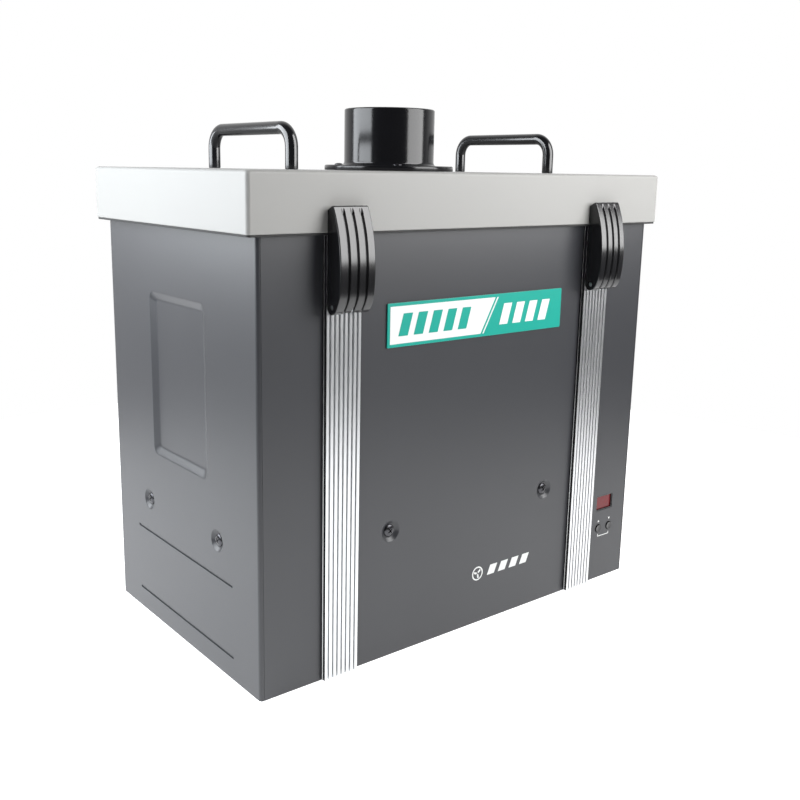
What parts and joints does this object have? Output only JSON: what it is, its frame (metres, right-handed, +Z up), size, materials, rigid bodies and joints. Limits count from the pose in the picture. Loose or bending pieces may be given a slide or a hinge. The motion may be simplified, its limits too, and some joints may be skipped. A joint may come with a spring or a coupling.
{
  "type": "solder fume extractor",
  "caption": "Bench-top fume extractor: sheet metal cabinet with latched hinged lid, round hose collar, lift handles, stacked filters and blower.",
  "frame": {"origin": "on the surface that the feet stand on, under the middle of the overall box", "axes": "+Z up, -Y towards the front with the latches and display, +X to the right of a person facing the front"},
  "size_m": [0.444, 0.2779, 0.4497],
  "materials": {
    "grey_powder": "dark grey powder coat, satin, fine texture",
    "white_powder": "warm light grey powder coat, satin",
    "zinc_steel": "zinc plated sheet steel",
    "aluminium": "bright anodised extrusion with ribs",
    "black_gloss": "high gloss black moulding",
    "black_plastic": "black moulded plastic, slight sheen",
    "black_steel": "gloss black enamel on steel",
    "rubber": "black rubber",
    "foam": "closed-cell foam seal",
    "teal_print": "printed teal and white label plate",
    "red_window": "dark red display filter",
    "circuit_board": "green solder mask with black parts",
    "filter_fleece": "white polyester fleece in a card frame",
    "filter_board": "fibreboard case with pleated paper",
    "charcoal": "activated carbon granules behind mesh",
    "red_rocker": "translucent red rocker"
  },
  "bodies": {
    "cabinet": {"base_pan": "zinc_steel", "front_panel": "grey_powder", "rear_panel": "grey_powder", "left_panel": "grey_powder", "right_panel": "grey_powder", "filter_deck": "zinc_steel", "top_rim": "zinc_steel", "body_hinge_leaf": "black_steel", "hinge_pin": "zinc_steel", "badge_plate": "teal_print", "display_window": "red_window", "control_board": "circuit_board", "blower_housing": "black_plastic", "blower_motor": "zinc_steel", "exhaust_grille": "black_plastic", "mains_inlet": "black_plastic", "switch_housing": "black_plastic", "power_board": "circuit_board", "front_left_post": "zinc_steel", "front_left_foot": "rubber", "front_right_post": "zinc_steel", "front_right_foot": "rubber", "rear_left_post": "zinc_steel", "rear_left_foot": "rubber", "rear_right_post": "zinc_steel", "rear_right_foot": "rubber", "left_rail": "aluminium", "left_latch_bracket": "zinc_steel", "left_latch_pin": "zinc_steel", "front_left_screw": "black_steel", "left_side_front_screw": "black_steel", "left_side_rear_screw": "black_steel", "right_rail": "aluminium", "right_latch_bracket": "zinc_steel", "right_latch_pin": "zinc_steel", "front_right_screw": "black_steel", "right_side_front_screw": "black_steel", "right_side_rear_screw": "black_steel"},
    "lid": {"lid": "white_powder", "lid_gasket": "foam", "lid_hinge_leaf": "black_steel", "hose_collar": "black_gloss", "left_handle": "black_steel", "right_handle": "black_steel", "collar_screw_1": "black_steel", "collar_screw_2": "black_steel", "collar_screw_3": "black_steel"},
    "pre_filter": {"pre_filter": "filter_fleece"},
    "main_filter": {"main_filter": "filter_board"},
    "carbon_filter": {"carbon_filter": "charcoal"},
    "left_latch": {"left_latch_lever": "black_plastic"},
    "right_latch": {"right_latch_lever": "black_plastic"},
    "left_button": {"left_button": "black_plastic"},
    "right_button": {"right_button": "black_plastic"},
    "power_rocker": {"power_rocker": "red_rocker"},
    "impeller": {"impeller": "black_plastic"}
  },
  "joints": [
    {"name": "lid_swing", "type": "hinge", "parent": "cabinet", "child": "lid", "pos_m": [0, 0.13575, 0.3485], "axis": [-1, 0, 0], "range_deg": [0, 100]},
    {"name": "pre_filter_lift", "type": "slide", "parent": "cabinet", "child": "pre_filter", "axis": [0, 0, 1], "range_m": [0, 0.15]},
    {"name": "main_filter_lift", "type": "slide", "parent": "cabinet", "child": "main_filter", "axis": [0, 0, 1], "range_m": [0, 0.1]},
    {"name": "carbon_filter_lift", "type": "slide", "parent": "cabinet", "child": "carbon_filter", "axis": [0, 0, 1], "range_m": [0, 0.05]},
    {"name": "left_latch_swing", "type": "hinge", "parent": "cabinet", "child": "left_latch", "pos_m": [-0.141, -0.12815, 0.3006], "axis": [1, 0, 0], "range_deg": [0, 80]},
    {"name": "right_latch_swing", "type": "hinge", "parent": "cabinet", "child": "right_latch", "pos_m": [0.141, -0.12815, 0.3006], "axis": [1, 0, 0], "range_deg": [0, 80]},
    {"name": "left_button_press", "type": "slide", "parent": "cabinet", "child": "left_button", "axis": [0, 1, 0], "range_m": [0, 0.0012], "stiffness_N_per_m": 300},
    {"name": "right_button_press", "type": "slide", "parent": "cabinet", "child": "right_button", "axis": [0, 1, 0], "range_m": [0, 0.0012], "stiffness_N_per_m": 300},
    {"name": "power_rocker_tip", "type": "hinge", "parent": "cabinet", "child": "power_rocker", "pos_m": [-0.15, 0.127, 0.088], "axis": [0, 0, 1], "range_deg": [0, 18]},
    {"name": "impeller_spin", "type": "hinge", "parent": "cabinet", "child": "impeller", "pos_m": [-0.034, 0.00525, 0.08], "axis": [0, 0, 1], "continuous": true}
  ],
  "couplings": [
    {"joint": "pre_filter_lift", "follows": "lid_swing", "m_per_rad": 0.085},
    {"joint": "main_filter_lift", "follows": "lid_swing", "m_per_rad": 0.056},
    {"joint": "carbon_filter_lift", "follows": "lid_swing", "m_per_rad": 0.028}
  ]
}
